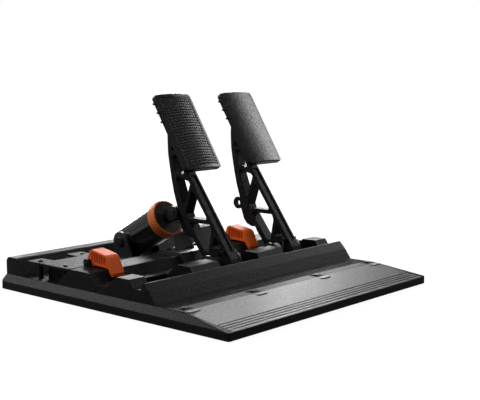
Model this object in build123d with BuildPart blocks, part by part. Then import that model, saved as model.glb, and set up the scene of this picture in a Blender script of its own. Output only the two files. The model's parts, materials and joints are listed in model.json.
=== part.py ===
# Sim racing pedal set: a moulded base tray with three pedal bays, a brake pedal that works
# against a load cylinder, a throttle pedal on twin torsion springs, two locking clips and
# a control box in the empty left bay.
# Frame: +X to the driver's right, +Y away from the driver, +Z up, millimetres.
# Origin: on the floor, at the centre of the tray's outline.
from build123d import *
from math import cos, hypot, pi, radians, sin, sqrt
import os

os.makedirs("parts", exist_ok=True)

# Clearances, and the reach of a cutting shape past the face that it opens
overrun = 2.0
seat_gap = 0.3
running_gap = 0.05

# Tray lengths, in order from the front edge to the back
lip_margin = 1.5
heel_length = 69.5
apron_length = 41.8
rail_run = 19.7
rail_back_run = 3.5
gutter_length = 13.0
middle_ridge_rise = 6.7
middle_ridge_length = 20.8
middle_ridge_fall = 15.5
front_valley_length = 25.0
rear_ridge_rise = 6.0
rear_ridge_length = 35.0
rear_ridge_fall = 27.0
rear_valley_length = 59.0
back_rail_rise = 19.0
back_rail_length = 17.0
back_slope = 3.0
back_margin = 3.0

# Tray heights above the floor; the ridges and valleys are shares of the front rail's height
lip_height = 10.3
heel_height = 20.2
rail_height = 43.6
gutter_share = 337 / 436
middle_ridge_share = 430 / 436
front_valley_share = 295 / 436
rear_ridge_share = 410 / 436
rear_valley_share = 192 / 436
back_rail_share = 412 / 436
back_waist_share = 360 / 436
rail_bulge = 1.2

# Tray across, its walls and what stands under it
tray_width = 380.0
side_step = 6.5
flange_edge = 9.6
flange_corner = 2.5
floor_gap = 1.0
tray_wall = 3.5
ridge_round = 2.0
back_rail_round = 5.0
rib_thickness = 2.4
rib_count = 9
screw_boss = 5.5
foot_radius = 11.0
foot_thickness = 2.5
foot_inset = 24.0
foot_boss_wall = 3.0
rig_hole_radius = 3.3
rig_boss_radius = 9.0

# Pedal bays
bay_pitch_share = 123 / 380
bay_width = 73.0
bay_floor = 10.0
bay_front_wall = 2.0
bay_back_reach = 3.5
hub_relief_length = 9.0
hub_relief_depth = 4.0
bay_corner = 1.0
pedal_shift = -2.0
bay_peg_radius = 2.6
bay_peg_height = 2.8
bay_peg_across = 29.6
bay_peg_inset = 8.0

# Heel plate with its grooves, tabs and screws
heel_plate_thickness = 3.0
heel_plate_side_gap = 1.0
groove_count = 4
groove_pitch = 5.3
groove_width = 2.0
groove_depth = 1.0
groove_start = 4.9
heel_tab_width = 16.0
heel_tab_length = 14.0
heel_tab_thickness = 2.0
heel_tab_inner_share = 61 / 380
heel_tab_outer_share = 173 / 380
heel_screw_inset = 5.0

# Screws: radii of thread and head, height of head, length under the head
small_thread = 1.5
small_head = 2.9
small_head_height = 1.6
small_screw_length = 8.0
large_thread = 2.0
large_head = 3.8
large_head_height = 2.4
large_screw_length = 9.0
socket_share = 0.55
socket_depth_share = 0.6

# Pedal arm: a flat truss whose outline follows its reach (Y) and rise (Z) from the pivot
pivot_behind_ridge = 5.5
pivot_above_valley = 3.5
arm_reach = 86.5
arm_rise = 167.0
arm_width = 16.0
arm_edge = 0.7
window_corner = 2.2
small_window_corner = 0.8
hub_radius = 11.0
tongue_thickness = 5.2
eye_radius = 8.5
eye_hole = 3.7
chord_groove_width = 9.0
chord_groove_depth = 1.4
chord_hole_radius = 2.4
web_hole_radius = 1.4
arm_outline_shares = [(1.000, 1.000), (1.005, 0.940), (1.003, 0.886), (0.995, 0.805), (0.970, 0.725),
                      (0.926, 0.605), (0.879, 0.503), (0.803, 0.386), (0.659, 0.275), (0.520, 0.195),
                      (0.439, 0.126), (0.277, 0.024), (0.197, -0.012), (-0.220, -0.024),
                      (-0.324, -0.024), (-0.267, 0.043), (0.620, 0.686)]
window_shares = [[(-0.087, 0.120), (0.073, 0.111), (0.049, 0.207)],
                 [(0.141, 0.284), (0.555, 0.284), (0.249, 0.078), (0.173, 0.078), (0.113, 0.240)],
                 [(0.187, 0.317), (0.592, 0.317), (0.622, 0.347), (0.499, 0.541)],
                 [(0.661, 0.392), (0.807, 0.591), (0.825, 0.631), (0.572, 0.598), (0.543, 0.578)],
                 [(0.636, 0.644), (0.836, 0.669), (0.873, 0.731), (0.897, 0.790), (0.814, 0.790)]]
small_window_shares = [(0.858, 0.823), (0.906, 0.823), (0.910, 0.862)]
foot_front_share = (-0.324, -0.024)
kink_share = (0.620, 0.686)
top_share = (1.000, 1.000)
groove_shares = [(-0.200, 0.092), (0.560, 0.643)]
eye_share = (0.896, 0.343)
tongue_shares = [(0.740, 0.386), (0.836, 0.307), (0.771, 0.217), (0.708, 0.178), (0.601, 0.158),
                 (0.486, 0.162), (0.578, 0.246), (0.717, 0.353)]
chord_hole_share = (-0.069, 0.060)
web_hole_share = (-0.190, 0.066)

# Pads: a convex plate in its own leaning frame, and the bracket behind it
pad_along = 42.9
pad_stand_off = 26.85
pad_width = 65.0
pad_length = 109.7
pad_crown = 3.5
pad_thickness = 9.0
pad_corner = 5.0
pad_field_corner = 2.0
pad_edge = 1.2
pad_rim = 5.0
pad_relief = 1.0
pad_nub_radius = 1.3
pad_nub_reach = 3.0
pad_nub_pitch = 13.2
pad_nub_start = 17.5
pad_nub_depth = 7.6
bracket_width = 40.0
bracket_length = 92.0
bracket_plate = 3.0
bracket_corner = 4.0
spine_low = 44.0
spine_high = 15.0
pad_screw_across = 14.5
pad_screw_along = 38.0
pad_screw_length = 7.0
spine_screw_low = 36.0
spine_screw_high = 8.0
spine_screw_sink = 2.5
spine_screw_length = 19.5

# Axles, bushes and torsion springs at the pedal pivots
axle_radius = 5.0
axle_overhang = 2.6
cheek_inner = 22.5
cheek_thickness = 4.0
cheek_round = 12.0
cheek_foot_length = 31.0
bush_wall = 1.5
bush_flange = 7.8
bush_flange_thickness = 1.0
ring_clip_radius = 7.5
ring_clip_thickness = 1.2
spacer_radius = 7.6
spring_radius = 9.6
spring_wire = 1.0
spring_turns = 4
spring_arm_leg = 19.0
spring_ground_leg = 9.0
spring_end_gap = 0.4
peg_radius = 1.8
peg_reach = 4.5
peg_gap = 0.1
arm_peg_back = 3.0
ground_peg_back = 1.5

# Pedal brackets in the bays and their stops
plate_thickness = 3.5
plate_width = 66.0
plate_front_gap = 2.5
deck_slot_gap = 2.0
deck_bridge = 5.0
stop_width = 14.0
stop_length = 8.0
stop_inset = 0.5
bumper_length = 14.0
bumper_height = 4.6
bumper_start = 13.0

# Throttle sensor
magnet_radius = 3.0
magnet_thickness = 2.0
sensor_width = 18.6
sensor_rise = 9.3
sensor_drop = 16.0
sensor_depth = 6.5
sensor_wall = 1.5
sensor_bore = 8.4
sensor_board_radius = 8.0
sensor_board_thickness = 1.0
sensor_screw_across = 6.0
sensor_screw_drop = 13.0
sensor_screw_length = 9.5

# Brake cylinder along its own axis, measured back from its front face
cylinder_tilt = 29.2
eye_to_face = 19.8
tube_radius = 23.8
tube_bore = 19.0
tube_end = 84.0
tube_chamfer = 4.0
neck_radius = 21.2
ring_radius = 25.0
ring_length = 14.0
ring_front = 1.0
ring_chamfer = 1.2
ring_gap = 0.35
cap_lip = 1.2
cap_length = 7.5
rod_radius = 7.5
rod_gap = 0.35
stud_radius = 3.5
stud_length = 2.4
piston_radius = 18.4
piston_thickness = 4.0
piston_start = 8.5
elastomer_radius = 16.5
elastomer_hole = 3.0
elastomer_lengths = [18.0, 16.0, 14.0]
stack_gap = 0.1
washer_radius = 18.2
washer_thickness = 1.6
load_cell_radius = 17.5
load_cell_length = 9.0
load_cell_waist = 3.0
end_cap_inset = 1.0
cell_screw_radius = 3.0
cell_screw_head = 5.0
cell_screw_head_height = 3.0
cell_screw_grip = 5.0
trunnion_from_face = 72.0
trunnion_radius = 4.0
trunnion_head = 6.0
trunnion_head_height = 2.4
trunnion_bush_wall = 1.5
cradle_gap = 1.2
cradle_thickness = 4.0
cradle_round = 13.0
cradle_leg_width = 13.0
cradle_leg_overlap = 22.0
cradle_foot_length = 26.0
cradle_back_gap = 1.0
valley_plate_length = 37.0
clevis_radius = 8.5
clevis_width = 19.0
clevis_slot = 6.2
clevis_gap = 0.5
clevis_end = 8.0
eye_pin_radius = 3.0
eye_pin_head = 4.6
eye_pin_head_height = 1.4
ridge_screw_across = 26.0
ridge_screw_inset = 8.0
valley_screw_across = 29.0
valley_screw_inset = 13.0
end_stop_width = 16.0
end_stop_start = 13.9
end_stop_length = 19.0
end_stop_height = 18.9
end_stop_shares = [(0.0, 0.0), (1.005, 0.0), (1.137, 0.722), (1.084, 0.897), (0.737, 1.0), (0.0, 0.134)]

# Locking clips
clip_width = 18.0
clip_offset = -23.5
clip_reach = 42.0
clip_rise = 16.0
clip_pin_inset = 2.0
clip_pin_rise = 5.0
clip_pin_radius = 1.6
clip_knuckle = 4.5
clip_ear = 5.0
clip_ear_gap = 0.4
clip_pin_head = 0.8
clip_foot_length = 3.6
clip_slot_count = 6
clip_slot_width = 3.2
clip_slot_pitch = 4.4
clip_slot_depth = 1.5
clip_slot_margin = 3.0
clip_slot_start = 6.0
clip_round = 1.2
clip_outline_shares = [(-0.814, -0.250), (-0.650, -0.200), (-0.179, -0.156), (0.107, 0.0), (-0.024, 0.875),
                       (-0.119, 1.0), (-0.714, 0.720), (-0.800, 0.560), (-1.012, -0.560)]

# Control box in the left bay
box_shift = -17.0
box_width = 56.0
box_front_inset = 6.3
box_length = 54.0
box_wall = 2.0
box_headroom = 3.0
lid_thickness = 2.6
lid_width = 84.0
lid_front_inset = 4.3
lid_ear_length = 23.0
lid_ear_width = 23.0
lid_corner = 2.0
lid_screw_across = 33.0
lid_screw_front = 21.0
lid_screw_back = 69.0
lid_post_radius = 3.2
board_width = 49.0
board_length = 25.0
board_thickness = 1.6
board_wall_gap = 1.5
board_post_height = 2.0
board_post_radius = 2.0
socket_width = 11.0
socket_height = 6.4
socket_depth = 13.0
socket_wall = 1.3
socket_recess = 9.0
socket_pitch = 14.0
socket_start = -20.0
socket_clearance = 0.2
usb_width = 9.0
usb_height = 3.4
usb_depth = 8.5
usb_place = 20.0
usb_wall = 0.6

# Stations along Y and the places that follow from them
gutter_height = rail_height * gutter_share
middle_ridge_height = rail_height * middle_ridge_share
front_valley_height = rail_height * front_valley_share
rear_ridge_height = rail_height * rear_ridge_share
rear_valley_height = rail_height * rear_valley_share
back_rail_height = rail_height * back_rail_share
back_waist_height = rail_height * back_waist_share
bay_pitch = tray_width * bay_pitch_share
heel_tab_inner = tray_width * heel_tab_inner_share
heel_tab_outer = tray_width * heel_tab_outer_share
heel_back = lip_margin + heel_length
heel_rise = (heel_height - lip_height) / heel_length
rail_foot = heel_back + apron_length
rail_crest = rail_foot + rail_run
gutter_front = rail_crest + rail_back_run
gutter_back = gutter_front + gutter_length
middle_ridge_front = gutter_back + middle_ridge_rise
middle_ridge_back = middle_ridge_front + middle_ridge_length
front_valley_front = middle_ridge_back + middle_ridge_fall
front_valley_back = front_valley_front + front_valley_length
rear_ridge_front = front_valley_back + rear_ridge_rise
rear_ridge_back = rear_ridge_front + rear_ridge_length
rear_valley_front = rear_ridge_back + rear_ridge_fall
rear_valley_back = rear_valley_front + rear_valley_length
back_rail_front = rear_valley_back + back_rail_rise
back_rail_back = back_rail_front + back_rail_length
back_foot = back_rail_back + back_slope
tray_depth = back_foot + back_margin
front = -tray_depth / 2
body_half = tray_width / 2 - side_step
bay_front = gutter_back + bay_front_wall
bay_back = front_valley_front + bay_back_reach
bays = [-bay_pitch, 0.0, bay_pitch]
brake_x = pedal_shift
throttle_x = bay_pitch + pedal_shift
clip_places = [clip_offset - bay_pitch, clip_offset + bay_pitch]
clip_y = front + rear_ridge_back - clip_pin_inset
clip_z = rear_ridge_height + clip_pin_rise
pivot_y = front + middle_ridge_back + pivot_behind_ridge
pivot_z = front_valley_height + pivot_above_valley
plate_front = front + bay_front + plate_front_gap
plate_riser = front + bay_back - seat_gap
plate_top = bay_floor + plate_thickness
deck_top = front_valley_height + plate_thickness
deck_back = front + front_valley_back
cheek_outer = cheek_inner + cheek_thickness
axle_half = cheek_outer + axle_overhang
bush_radius = axle_radius + bush_wall
box_x = bays[0] + box_shift
box_top = rear_ridge_height - box_headroom
box_front = front + rear_ridge_back + box_front_inset
box_back = box_front + box_length
board_bottom = rear_valley_height + box_wall + board_post_height
board_top = board_bottom + board_thickness


def side_plane(x, y=0, z=0):
    """Plane of the side view: its own x is the world's Y, its own y the world's Z."""
    return Plane(origin=(x, y, z), x_dir=(0, 1, 0), z_dir=(1, 0, 0))


def up_plane(x, y, z):
    """Level plane at a point, facing up."""
    return Plane(origin=(x, y, z), x_dir=(1, 0, 0), z_dir=(0, 0, 1))


def arm_point(share):
    """Place in the side view of a share of the arm's reach and rise."""
    return pivot_y + arm_reach * share[0], pivot_z + arm_rise * share[1]


def save(part, name):
    """Label a finished piece and write it."""
    part.label = name
    export_step(part, "parts/" + name + ".step")


def slab(x, points, width):
    """A flat piece cut to an outline in the side view, centred on x."""
    with BuildPart() as made:
        with BuildSketch(side_plane(x)):
            with BuildLine():
                Polyline(*points, close=True)
            make_face()
        extrude(amount=width / 2, both=True)
    return made.part


def drums(planes, radius, length, bore=0):
    """Round bars or tubes that start on each plane and run along its z."""
    with BuildPart() as made:
        for plane in planes:
            with BuildSketch(plane):
                Circle(radius)
                if bore:
                    Circle(bore, mode=Mode.SUBTRACT)
            extrude(amount=length)
    return made.part


def screws(planes, thread, head, head_height, length):
    """Socket screws: each plane lies on the seat of a head and faces out of the work."""
    with BuildPart() as made:
        for plane in planes:
            with BuildSketch(plane):
                Circle(head)
            extrude(amount=head_height)
            with BuildSketch(plane):
                Circle(thread)
            extrude(amount=-length)
            with BuildSketch(plane.offset(head_height)):
                RegularPolygon(head * socket_share, 6)
            extrude(amount=-head_height * socket_depth_share, mode=Mode.SUBTRACT)
    return made.part


def band(line, thickness):
    """Closed outline of a bent plate: a line, and its copy to the left at the thickness."""
    normals = []
    for (y0, z0), (y1, z1) in zip(line, line[1:]):
        length = hypot(y1 - y0, z1 - z0)
        normals.append(((z0 - z1) / length, (y1 - y0) / length))
    copy = []
    for i, (y, z) in enumerate(line):
        a = normals[max(i - 1, 0)]
        b = normals[min(i, len(normals) - 1)]
        stretch = thickness / (1 + a[0] * b[0] + a[1] * b[1])
        copy.append((y + stretch * (a[0] + b[0]), z + stretch * (a[1] + b[1])))
    return line + copy[::-1]


def ridge_fall(y):
    """Height of the rear ridge's back slope at y."""
    fallen = (y - front - rear_ridge_back) / rear_ridge_fall
    return rear_ridge_height - (rear_ridge_height - rear_valley_height) * fallen


def tray_line(bottom, apron):
    """Corner points of the tray's side view, closed at a bottom height, with the apron's height."""
    bulge = rail_bulge / sqrt(2)
    points = [(lip_margin, bottom), (lip_margin, lip_height - heel_plate_thickness),
              (heel_back, heel_height - heel_plate_thickness), (heel_back, apron), (rail_foot, apron),
              ((rail_foot + rail_crest) / 2 - bulge, (heel_height + rail_height) / 2 + bulge),
              (rail_crest, rail_height), (gutter_front, gutter_height), (gutter_back, gutter_height),
              (middle_ridge_front, middle_ridge_height), (middle_ridge_back, middle_ridge_height),
              (front_valley_front, front_valley_height), (front_valley_back, front_valley_height),
              (rear_ridge_front, rear_ridge_height), (rear_ridge_back, rear_ridge_height),
              (rear_valley_front, rear_valley_height), (rear_valley_back, rear_valley_height),
              (back_rail_front, back_rail_height), (back_rail_back, back_rail_height),
              (back_foot, back_waist_height), (back_foot, bottom)]
    return [(front + y, z) for y, z in dict.fromkeys(points)]


# Places of feet, bolts, tabs and screws
foot_places = [(x, y) for y in (front + foot_inset, front + (heel_back + rail_foot) / 2, -front - foot_inset)
               for x in (foot_inset - body_half, body_half - foot_inset)]
rig_places = [(x, front + y) for y in ((front_valley_front + front_valley_back) / 2,
                                       (rear_valley_front + rear_valley_back) / 2)
              for x in (-bay_pitch / 2, bay_pitch / 2)]
heel_tab_places = [-heel_tab_outer, -heel_tab_inner, heel_tab_inner, heel_tab_outer]
heel_screw_y = front + heel_back + heel_tab_length - heel_screw_inset
heel_screw_places = [(x, heel_screw_y) for x in heel_tab_places]
ridge_screw_y = front + rear_ridge_back - ridge_screw_inset
valley_screw_y = front + rear_valley_front + valley_screw_inset
ridge_screw_places = [(brake_x + side * ridge_screw_across, ridge_screw_y) for side in (-1, 1)]
valley_screw_places = [(brake_x + side * valley_screw_across, valley_screw_y) for side in (-1, 1)]
bay_peg_y = front + bay_front + bay_peg_inset
lid_screw_places = [(box_x + side * lid_screw_across, front + rear_ridge_back + y)
                    for y in (lid_screw_front, lid_screw_back) for side in (-1, 1)]

# The hollow under the tray, less the ribs, well walls and bosses that stand in it
with BuildPart() as hollow:
    with BuildSketch(side_plane(tray_wall - body_half)):
        with BuildLine():
            Polyline(*tray_line(-tray_wall - overrun, heel_height - heel_plate_thickness), close=True)
        make_face()
        offset(amount=-tray_wall, kind=Kind.INTERSECTION, mode=Mode.REPLACE)
    extrude(amount=2 * (body_half - tray_wall))
    with BuildSketch(Plane.XY.offset(-overrun)):
        with GridLocations(2 * body_half / (rib_count + 1), tray_depth, rib_count, 1):
            Rectangle(rib_thickness, tray_depth)
        with Locations(*[(0, front + y) for y in (heel_back, rail_foot, middle_ridge_back, rear_ridge_front,
                                                  rear_valley_front, rear_valley_back)]):
            Rectangle(tray_width, rib_thickness)
        with Locations(*foot_places):
            Circle(foot_radius + foot_boss_wall)
        with Locations(*rig_places):
            Circle(rig_boss_radius)
        with Locations(*heel_screw_places, *ridge_screw_places, *valley_screw_places):
            Circle(screw_boss)
    extrude(amount=rail_height + overrun, mode=Mode.SUBTRACT)
    with BuildSketch(Plane.XY.offset(bay_floor - tray_wall)):
        with Locations(*[(x, front + (bay_front + bay_back) / 2) for x in bays]):
            Rectangle(bay_width + 2 * tray_wall, bay_back - bay_front + 2 * tray_wall)
    extrude(amount=rail_height, mode=Mode.SUBTRACT)

# The foot's flange stands upright all round, slopes in to the body and dips with the heel plate
flange_shoulder = floor_gap + flange_edge
flange_line = [(front, floor_gap), (front, lip_height - heel_rise * lip_margin),
               (front + lip_margin + (rear_valley_height - lip_height) / heel_rise, rear_valley_height),
               (-front - back_margin, rear_valley_height), (-front, flange_shoulder), (-front, floor_gap)]
with BuildPart() as flange:
    with BuildSketch(Plane.XY.offset(floor_gap)):
        RectangleRounded(tray_width, tray_depth, flange_corner)
    extrude(amount=rear_valley_height - floor_gap)
    add(slab(0, flange_line, tray_width + overrun), mode=Mode.INTERSECT)
    with BuildSketch(Plane.XZ):
        with BuildLine():
            Polyline((-tray_width / 2, floor_gap), (tray_width / 2, floor_gap), (tray_width / 2, flange_shoulder),
                     (body_half, rear_valley_height), (-body_half, rear_valley_height),
                     (-tray_width / 2, flange_shoulder), close=True)
        make_face()
    extrude(amount=tray_depth, both=True, mode=Mode.INTERSECT)

heel_plate_line = [(front + lip_margin, lip_height - heel_plate_thickness),
                   (front + heel_back - seat_gap, heel_height - heel_plate_thickness),
                   (front + heel_back - seat_gap, heel_height), (front + lip_margin, lip_height)]
heel_cut_line = [(front + lip_margin - seat_gap, lip_height - heel_plate_thickness),
                 (front + lip_margin, lip_height - heel_plate_thickness),
                 (front + heel_back, heel_height - heel_plate_thickness),
                 (front + heel_back, rail_height), (front + lip_margin - seat_gap, rail_height)]

with BuildPart() as base_tray:
    with BuildSketch(side_plane(-body_half)):
        with BuildLine():
            Polyline(*tray_line(floor_gap, heel_height), close=True)
        make_face()
        high = (gutter_height + back_rail_height) / 2
        fillet([v for v in vertices() if v.Y > high and v.X < front + rear_valley_back], ridge_round)
        fillet([v for v in vertices() if v.Y > high and v.X > front + rear_valley_back], back_rail_round)
    extrude(amount=2 * body_half)
    add(flange.part)
    # Seat of the heel plate
    add(slab(0, heel_cut_line, 2 * body_half), mode=Mode.SUBTRACT)
    add(hollow.part, mode=Mode.SUBTRACT)
    # Pedal wells through the middle ridge, with a locating peg on each side
    with BuildSketch(Plane.XY.offset(bay_floor)):
        with Locations(*[(x, front + (bay_front + bay_back) / 2) for x in bays]):
            RectangleRounded(bay_width, bay_back - bay_front, bay_corner)
    extrude(amount=rail_height, mode=Mode.SUBTRACT)
    with BuildSketch(Plane.XY.offset(bay_floor)):
        with Locations(*[(x + pedal_shift + side * bay_peg_across, bay_peg_y) for x in bays for side in (-1, 1)]):
            Circle(bay_peg_radius)
    extrude(amount=bay_peg_height)
    # Room behind the throttle's well for its hub at full travel
    with BuildSketch(Plane.XY.offset(front_valley_height)):
        with Locations((throttle_x, front + bay_back + (hub_relief_length - overrun) / 2)):
            Rectangle(2 * cheek_inner, hub_relief_length + overrun)
    extrude(amount=-hub_relief_depth, mode=Mode.SUBTRACT)
    # Pockets of the heel plate's tabs
    with BuildSketch(Plane.XY.offset(heel_height)):
        with Locations(*[(x, front + heel_back + heel_tab_length / 2) for x in heel_tab_places]):
            Rectangle(heel_tab_width + 2 * seat_gap, heel_tab_length + 2 * seat_gap)
    extrude(amount=-heel_tab_thickness, mode=Mode.SUBTRACT)
    # Posts that carry the control box's lid
    add(drums([up_plane(x, y, rear_valley_height - tray_wall / 2) for x, y in lid_screw_places], lid_post_radius,
              box_top - rear_valley_height + tray_wall / 2))
    # Ears of the locking clips
    for x in clip_places:
        for side in (-1, 1):
            with BuildSketch(side_plane(x + side * (clip_width / 2 + clip_ear_gap + clip_ear / 2))):
                with Locations((clip_y, clip_z)):
                    Circle(clip_knuckle)
                with Locations((clip_y - clip_pin_inset, rear_ridge_height - tray_wall / 2)):
                    Rectangle(2 * clip_knuckle, tray_wall)
                make_hull(edges())
            extrude(amount=clip_ear / 2, both=True)
    add(drums([side_plane(x - clip_width, clip_y, clip_z) for x in clip_places], clip_pin_radius,
              2 * clip_width), mode=Mode.SUBTRACT)
    # Seats of the feet, rig bolt holes and screw holes
    add(drums([up_plane(x, y, -overrun) for x, y in foot_places], foot_radius + seat_gap,
              overrun + foot_thickness), mode=Mode.SUBTRACT)
    add(drums([up_plane(x, y, -overrun) for x, y in rig_places], rig_hole_radius, rail_height),
        mode=Mode.SUBTRACT)
    add(drums([up_plane(x, y, heel_height) for x, y in heel_screw_places], small_thread, -small_screw_length),
        mode=Mode.SUBTRACT)
    add(drums([up_plane(x, y, rear_ridge_height + plate_thickness) for x, y in ridge_screw_places],
              large_thread, -large_screw_length), mode=Mode.SUBTRACT)
    add(drums([up_plane(x, y, rear_valley_height + plate_thickness) for x, y in valley_screw_places],
              large_thread, -large_screw_length), mode=Mode.SUBTRACT)
    add(drums([up_plane(x, y, box_top + lid_thickness) for x, y in lid_screw_places], small_thread,
              -small_screw_length), mode=Mode.SUBTRACT)
save(base_tray.part, "base_tray")

# Heel plate: a grooved step plate with four screwed tabs
with BuildPart() as heel_plate:
    add(slab(0, heel_plate_line, 2 * (body_half - heel_plate_side_gap)))
    with BuildSketch(Plane.XY.offset(heel_height)):
        with Locations(*[(x, front + heel_back + (heel_tab_length - heel_tab_width / 2) / 2)
                         for x in heel_tab_places]):
            Rectangle(heel_tab_width, heel_tab_length + heel_tab_width / 2)
    extrude(amount=-heel_tab_thickness)
    for i in range(groove_count):
        groove_y = groove_start + i * groove_pitch
        with BuildSketch(side_plane(-body_half, front + lip_margin + groove_y, lip_height + heel_rise * groove_y)):
            Rectangle(groove_width, 2 * groove_depth)
        extrude(amount=2 * body_half, mode=Mode.SUBTRACT)
    add(drums([up_plane(x, y, heel_height) for x, y in heel_screw_places], small_thread, -small_screw_length),
        mode=Mode.SUBTRACT)
save(heel_plate.part, "heel_plate")
save(screws([up_plane(x, y, heel_height) for x, y in heel_screw_places], small_thread, small_head,
            small_head_height, small_screw_length), "heel_plate_screws")

save(drums([up_plane(x, y, 0) for x, y in foot_places], foot_radius, foot_thickness), "rubber_feet")

# Control box: housing with board posts and socket windows, board, sockets, lid and screws
box_line = [(box_front, box_top), (box_front, ridge_fall(box_front) + seat_gap),
            (front + rear_valley_front + seat_gap, rear_valley_height),
            (box_back, rear_valley_height), (box_back, box_top)]
box_inner_line = [(y, z + (box_wall + overrun if z == box_top else 0)) for y, z in box_line]
board_back = box_back - box_wall - board_wall_gap
board_places = [(box_x + i * (board_width / 2 - board_post_radius),
                 board_back - board_length / 2 + j * (board_length / 2 - board_post_radius))
                for i in (-1, 1) for j in (-1, 1)]
socket_places = [box_x + socket_start + i * socket_pitch for i in range(3)]
with BuildPart() as control_box_housing:
    add(slab(box_x, box_line, box_width))
    with BuildSketch(side_plane(box_x)):
        with BuildLine():
            Polyline(*box_inner_line, close=True)
        make_face()
        offset(amount=-box_wall, kind=Kind.INTERSECTION, mode=Mode.REPLACE)
    extrude(amount=box_width / 2 - box_wall, both=True, mode=Mode.SUBTRACT)
    with BuildSketch(Plane.XY.offset(rear_valley_height + box_wall)):
        with Locations(*board_places):
            Circle(board_post_radius)
    extrude(amount=board_post_height)
    for x in socket_places:
        with Locations((x, box_back, board_top + socket_height / 2)):
            Box(socket_width + 2 * socket_clearance, 2 * (box_wall + board_wall_gap),
                socket_height + 2 * socket_clearance, mode=Mode.SUBTRACT)
    with Locations((box_x + usb_place, box_back, board_top + usb_height / 2)):
        Box(usb_width + 2 * socket_clearance, 2 * (box_wall + board_wall_gap),
            usb_height + 2 * socket_clearance, mode=Mode.SUBTRACT)
save(control_box_housing.part, "control_box_housing")

with BuildPart() as circuit_board:
    with BuildSketch(Plane.XY.offset(board_bottom)):
        with Locations((box_x, board_back - board_length / 2)):
            Rectangle(board_width, board_length)
    extrude(amount=board_thickness)
save(circuit_board.part, "circuit_board")

with BuildPart() as pedal_sockets:
    for x in socket_places:
        with Locations((x, box_back - socket_depth / 2, board_top + socket_height / 2)):
            Box(socket_width, socket_depth, socket_height)
        with Locations((x, box_back, board_top + socket_height / 2)):
            Box(socket_width - 2 * socket_wall, 2 * socket_recess, socket_height - 2 * socket_wall,
                mode=Mode.SUBTRACT)
save(pedal_sockets.part, "pedal_sockets")

with BuildPart() as usb_socket:
    with Locations((box_x + usb_place, box_back - usb_depth / 2, board_top + usb_height / 2)):
        Box(usb_width, usb_depth, usb_height)
    with Locations((box_x + usb_place, box_back, board_top + usb_height / 2)):
        Box(usb_width - 2 * usb_wall, usb_depth, usb_height - 2 * usb_wall, mode=Mode.SUBTRACT)
save(usb_socket.part, "usb_socket")

lid_front = front + rear_ridge_back + lid_front_inset
lid_length = box_back - lid_front
with BuildPart() as control_box_lid:
    with BuildSketch(Plane.XY.offset(box_top)) as lid_sketch:
        with Locations((box_x, lid_front + lid_length / 2)):
            Rectangle(lid_width, lid_length)
        with Locations(*[(box_x + side * (lid_width - lid_ear_width) / 2,
                          lid_front + (lid_length + lid_ear_length) / 2) for side in (-1, 1)]):
            Rectangle(lid_ear_width, lid_length + lid_ear_length)
        fillet(vertices(), lid_corner)
    extrude(amount=lid_thickness)
    add(drums([up_plane(x, y, box_top) for x, y in lid_screw_places], small_thread, lid_thickness),
        mode=Mode.SUBTRACT)
save(control_box_lid.part, "control_box_lid")
save(screws([up_plane(x, y, box_top + lid_thickness) for x, y in lid_screw_places], small_thread, small_head,
            small_head_height, small_screw_length), "control_box_screws")

# Locking clips: each swings on a pin in two ears of the rear ridge
clip_drop = clip_z - deck_top - seat_gap
clip_line = [(clip_y - clip_reach, clip_z - clip_drop),
             (clip_y - clip_reach + clip_foot_length, clip_z - clip_drop)]
clip_line += [(clip_y + clip_reach * a, clip_z + clip_rise * b) for a, b in clip_outline_shares]
slot_span = clip_slot_pitch * (clip_slot_count - 1)
pin_half = clip_width / 2 + clip_ear_gap + clip_ear + clip_pin_head
for x, name in zip(clip_places, ("clutch_bay_clip", "throttle_clip")):
    with BuildPart() as clip:
        with BuildSketch(side_plane(x)):
            with BuildLine():
                Polyline(*clip_line, close=True)
            make_face()
            fillet([v for v in vertices() if v.Y > clip_z + clip_knuckle], clip_round)
            with Locations((clip_y, clip_z)):
                Circle(clip_knuckle)
        extrude(amount=clip_width / 2, both=True)
        for side in (-1, 1):
            with BuildSketch(side_plane(x + side * clip_width / 2)):
                with BuildLine():
                    Polyline(*clip_line, close=True)
                make_face()
                offset(amount=-clip_slot_margin, kind=Kind.INTERSECTION, mode=Mode.REPLACE)
                with Locations((clip_y - clip_slot_start - slot_span / 2, clip_z + clip_rise / 2)):
                    with GridLocations(clip_slot_pitch, clip_rise, clip_slot_count, 1):
                        Rectangle(clip_slot_width, clip_rise, mode=Mode.INTERSECT)
            extrude(amount=-side * clip_slot_depth, mode=Mode.SUBTRACT)
        add(drums([side_plane(x - clip_width, clip_y, clip_z)], clip_pin_radius + running_gap, 2 * clip_width),
            mode=Mode.SUBTRACT)
    save(clip.part, name)
save(drums([side_plane(x - pin_half, clip_y, clip_z) for x in clip_places], clip_pin_radius, 2 * pin_half),
     "clip_pins")

# Leaning frame of the pads: parallel to the upper front edge of the arm
kink_y, kink_z = arm_point(kink_share)
top_y, top_z = arm_point(top_share)
lean_length = hypot(top_y - kink_y, top_z - kink_z)
lean_y = (top_y - kink_y) / lean_length
lean_z = (top_z - kink_z) / lean_length
eye_y, eye_z = arm_point(eye_share)
foot_front_y, foot_bottom = arm_point(foot_front_share)


def pad_point(along, height):
    """Place in the side view: a length up the pad, and a height off its face."""
    y = kink_y + (pad_along + along) * lean_y - (pad_stand_off + height) * lean_z
    z = kink_z + (pad_along + along) * lean_z + (pad_stand_off + height) * lean_y
    return y, z


def pad_plane(x, along, height, way=1):
    """Plane parallel to the pad, facing the driver, or the other way."""
    y, z = pad_point(along, height)
    return Plane(origin=(x, y, z), x_dir=(1, 0, 0), z_dir=(0, -way * lean_z, way * lean_y))


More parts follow.
